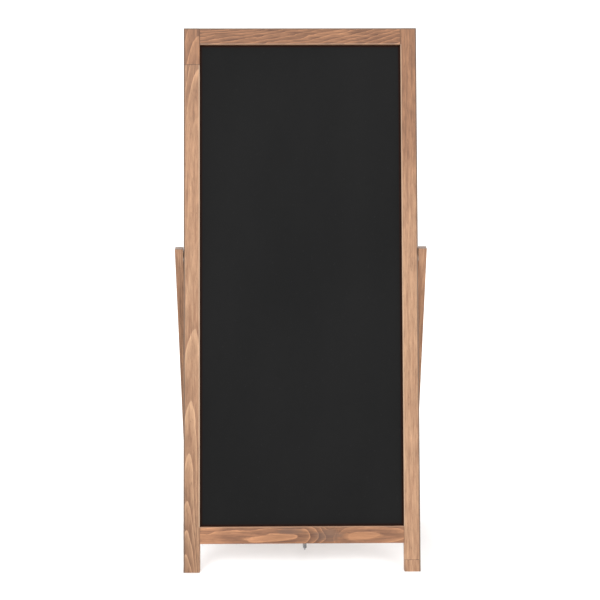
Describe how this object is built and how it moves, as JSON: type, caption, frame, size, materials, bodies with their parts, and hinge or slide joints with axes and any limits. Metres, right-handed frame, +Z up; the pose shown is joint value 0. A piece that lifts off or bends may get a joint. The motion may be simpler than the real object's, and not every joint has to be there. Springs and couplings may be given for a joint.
{
  "type": "menu chalkboard easel",
  "caption": "Tall wood-framed chalkboard that stands on the floor, leaning back on a folding pair of rear legs held by a limit chain.",
  "frame": {"origin": "on the floor, in the middle of the bounding box: halfway between the two sides and between the front and rear feet", "axes": "+Z up, +X to the right as one faces the writing side, -Y out of the writing side; the board leans towards +Y and the rear legs stand at +Y"},
  "size_m": [0.565, 0.3082, 1.1951],
  "materials": {
    "stained_pine": "stained softwood with a thin satin varnish",
    "plain_hardwood": "plain turned hardwood",
    "chalkboard_coat": "matt blackboard coating on brown hardboard",
    "zinc_plated_steel": "dull zinc plating"
  },
  "bodies": {
    "board_frame": {"bottom_rail": "stained_pine", "chalkboard_panel": "chalkboard_coat", "front_screw_eye": "zinc_plated_steel", "left_stile": "stained_pine", "left_stile_top_block": "stained_pine", "pivot_bolt_left": "zinc_plated_steel", "pivot_bolt_right": "zinc_plated_steel", "pivot_washer_left": "zinc_plated_steel", "pivot_washer_right": "zinc_plated_steel", "rail_dowels": "plain_hardwood", "retaining_strip_bottom": "stained_pine", "retaining_strip_left": "stained_pine", "retaining_strip_right": "stained_pine", "retaining_strip_top": "stained_pine", "right_stile": "stained_pine", "right_stile_foot_block": "stained_pine", "strip_brads": "zinc_plated_steel", "threaded_insert_left": "zinc_plated_steel", "threaded_insert_right": "zinc_plated_steel", "top_rail": "stained_pine"},
    "leg_frame": {"left_leg": "stained_pine", "right_leg": "stained_pine", "crossbar": "stained_pine", "crossbar_screws": "zinc_plated_steel", "rear_screw_eye": "zinc_plated_steel"},
    "chain_front": {"chain_front_links": "zinc_plated_steel"},
    "chain_middle": {"chain_middle_link": "zinc_plated_steel"},
    "chain_rear": {"chain_rear_links": "zinc_plated_steel"}
  },
  "joints": [
    {"name": "leg_fold", "type": "hinge", "parent": "board_frame", "child": "leg_frame", "pos_m": [0, 0, 0.68177], "axis": [-1, 0, 0], "range_deg": [0, 23.9], "deforming": ["chain_front_links", "chain_middle_link", "chain_rear_links"]},
    {"name": "chain_front_hang", "type": "hinge", "parent": "board_frame", "child": "chain_front", "pos_m": [0.006, -0.13462, 0.04842], "axis": [-1, 0, 0], "range_deg": [0, 94.26]},
    {"name": "chain_middle_turn", "type": "hinge", "parent": "chain_front", "child": "chain_middle", "pos_m": [0.006, -0.01608, 0.05242], "axis": [-1, 0, 0], "range_deg": [-88.28, 0]},
    {"name": "chain_rear_hang", "type": "hinge", "parent": "leg_frame", "child": "chain_rear", "pos_m": [0.006, 0.14294, 0.08146], "axis": [-1, 0, 0], "range_deg": [-98.86, 0]}
  ],
  "couplings": [
    {"joint": "chain_front_hang", "follows": "leg_fold", "ratio": 3.9435},
    {"joint": "chain_middle_turn", "follows": "leg_fold", "ratio": -3.6932},
    {"joint": "chain_rear_hang", "follows": "leg_fold", "ratio": -4.136}
  ]
}
